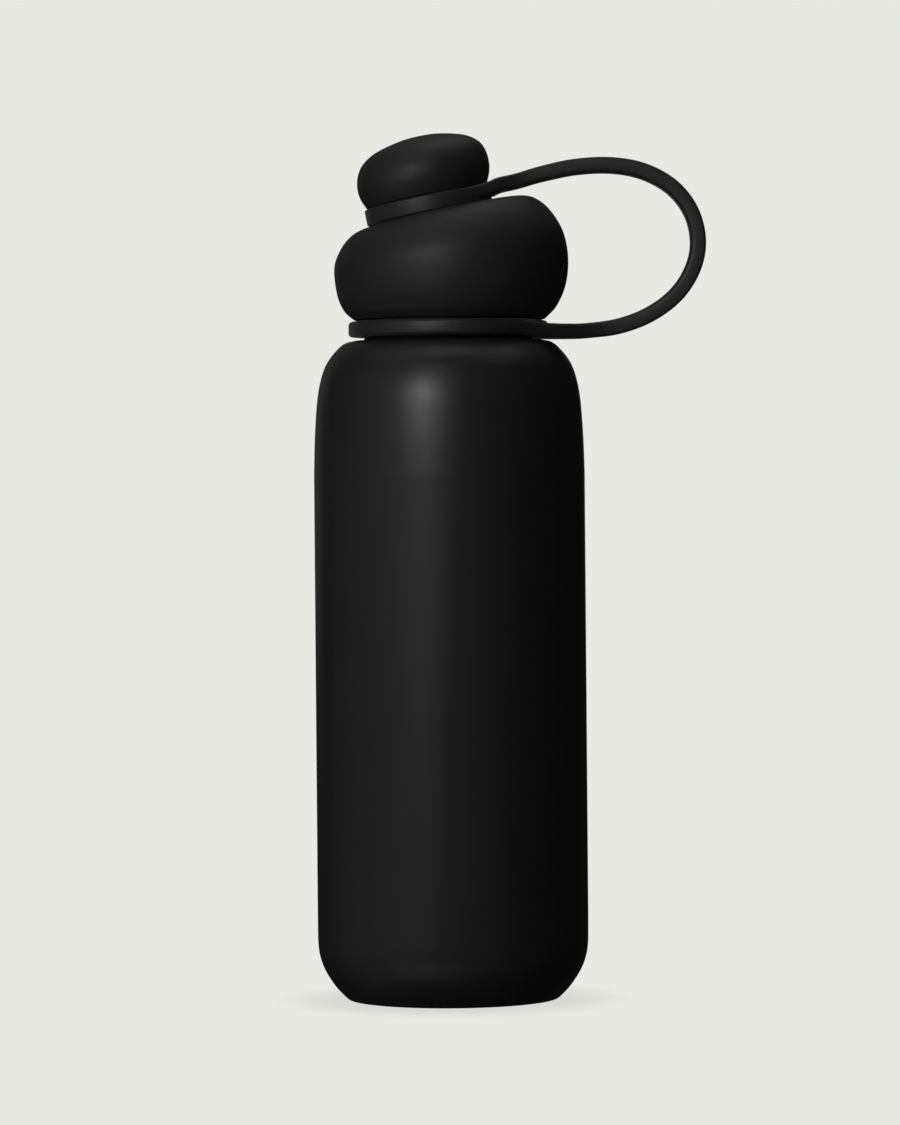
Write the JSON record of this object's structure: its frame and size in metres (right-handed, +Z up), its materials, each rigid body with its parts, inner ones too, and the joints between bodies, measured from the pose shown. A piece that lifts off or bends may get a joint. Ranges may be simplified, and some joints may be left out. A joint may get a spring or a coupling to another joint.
{
  "type": "insulated water bottle",
  "caption": "Vacuum-insulated bottle with a lopsided pebble-shaped screw lid, a screw cap on a tilted spout and a looped silicone carry strap.",
  "frame": {"origin": "centre of the foot, on the surface that the bottle stands on, on the bottle's axis", "axes": "+Z up the bottle's axis, +X towards the strap's loop, +Y across the loop, away from the front"},
  "size_m": [0.1278, 0.088, 0.2813],
  "materials": {
    "powder_coat": "matt black powder coat with a very fine texture",
    "steel": "bare stainless steel, satin, turned marks",
    "foil": "thin copper foil",
    "getter": "pressed grey metal powder",
    "solder_glass": "dark solder glass bead",
    "lid_plastic": "soft-touch matt black moulded plastic",
    "liner_plastic": "satin black moulded plastic",
    "foam": "cream rigid insulating foam",
    "clear_silicone": "milky silicone",
    "strap_silicone": "matt black silicone rubber",
    "pad_silicone": "matt black silicone rubber"
  },
  "bodies": {
    "bottle": {"outer_shell": "powder_coat", "outer_base": "powder_coat", "inner_vessel": "steel", "radiation_foil": "foil", "getter": "getter", "vacuum_seal_bead": "solder_glass", "base_pad": "pad_silicone"},
    "neck_ring": {"strap_neck_ring": "strap_silicone"},
    "lid": {"lid_shell": "lid_plastic", "lid_liner": "liner_plastic", "lid_foam": "foam", "lid_gasket": "clear_silicone", "spout": "liner_plastic", "spout_seal": "clear_silicone", "strap_loop": "strap_silicone"},
    "cap_ring": {"strap_cap_ring": "strap_silicone"},
    "cap": {"cap_shell": "lid_plastic", "cap_base_ring": "lid_plastic", "cap_liner": "liner_plastic", "cap_foam": "foam", "cap_gasket": "clear_silicone"}
  },
  "joints": [
    {"name": "lid_turn", "type": "hinge", "parent": "bottle", "child": "neck_ring", "pos_m": [0, 0, 0.2175], "axis": [0, 0, 1], "range_deg": [0, 540]},
    {"name": "lid_rise", "type": "slide", "parent": "neck_ring", "child": "lid", "axis": [0, 0, 1], "range_m": [0, 0.012]},
    {"name": "cap_rise", "type": "slide", "parent": "lid", "child": "cap_ring", "axis": [-0.1908, 0, 0.9816], "range_m": [0, 0.009]},
    {"name": "cap_turn", "type": "hinge", "parent": "cap_ring", "child": "cap", "pos_m": [-0.0061, 0, 0.25775], "axis": [-0.1908, 0, 0.9816], "range_deg": [0, 540]}
  ],
  "couplings": [
    {"joint": "lid_rise", "follows": "lid_turn", "m_per_rad": 0.0012732},
    {"joint": "cap_rise", "follows": "cap_turn", "m_per_rad": 0.00095492}
  ]
}
